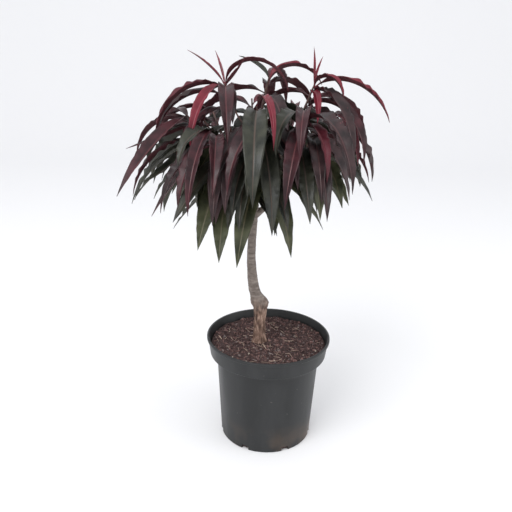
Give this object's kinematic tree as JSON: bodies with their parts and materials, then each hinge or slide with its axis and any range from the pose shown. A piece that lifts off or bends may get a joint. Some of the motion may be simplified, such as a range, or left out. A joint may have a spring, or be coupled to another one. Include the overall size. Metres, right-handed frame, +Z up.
{
  "type": "potted red-leaf dwarf peach tree",
  "caption": "Small red-leaf dwarf peach tree with a short bare stem and a round drooping crown, growing in a round black nursery pot",
  "frame": {"origin": "centre of the pot's flat underside", "axes": "+Z up along the pot's axis; -Y towards the viewer of the picture, +X to the viewer's right"},
  "size_m": [0.4076, 0.4283, 0.6851],
  "materials": {
    "pot_plastic": "black injection-moulded plastic with a dull sheen, scuffs and dried soil near the foot",
    "compost": "purplish brown coarse bark compost",
    "bark": "grey-brown young peach bark, orange-brown below the graft",
    "leaves": "crimson young leaves, maroon to dark green older ones, softly glossy"
  },
  "bodies": {
    "root": {"pot": "pot_plastic", "compost": "compost", "trunk": "bark", "bough_left": "bark", "bough_far_left": "bark", "bough_front_left": "bark", "bough_front": "bark", "bough_front_right": "bark", "bough_right": "bark", "bough_far_right": "bark", "bough_back_right": "bark", "bough_back": "bark", "bough_back_left": "bark", "bough_top": "bark", "foliage_left": "leaves", "foliage_far_left": "leaves", "foliage_front_left": "leaves", "foliage_front": "leaves", "foliage_front_right": "leaves", "foliage_right": "leaves", "foliage_far_right": "leaves", "foliage_back_right": "leaves", "foliage_back": "leaves", "foliage_back_left": "leaves", "foliage_top": "leaves"}
  },
  "joints": []
}
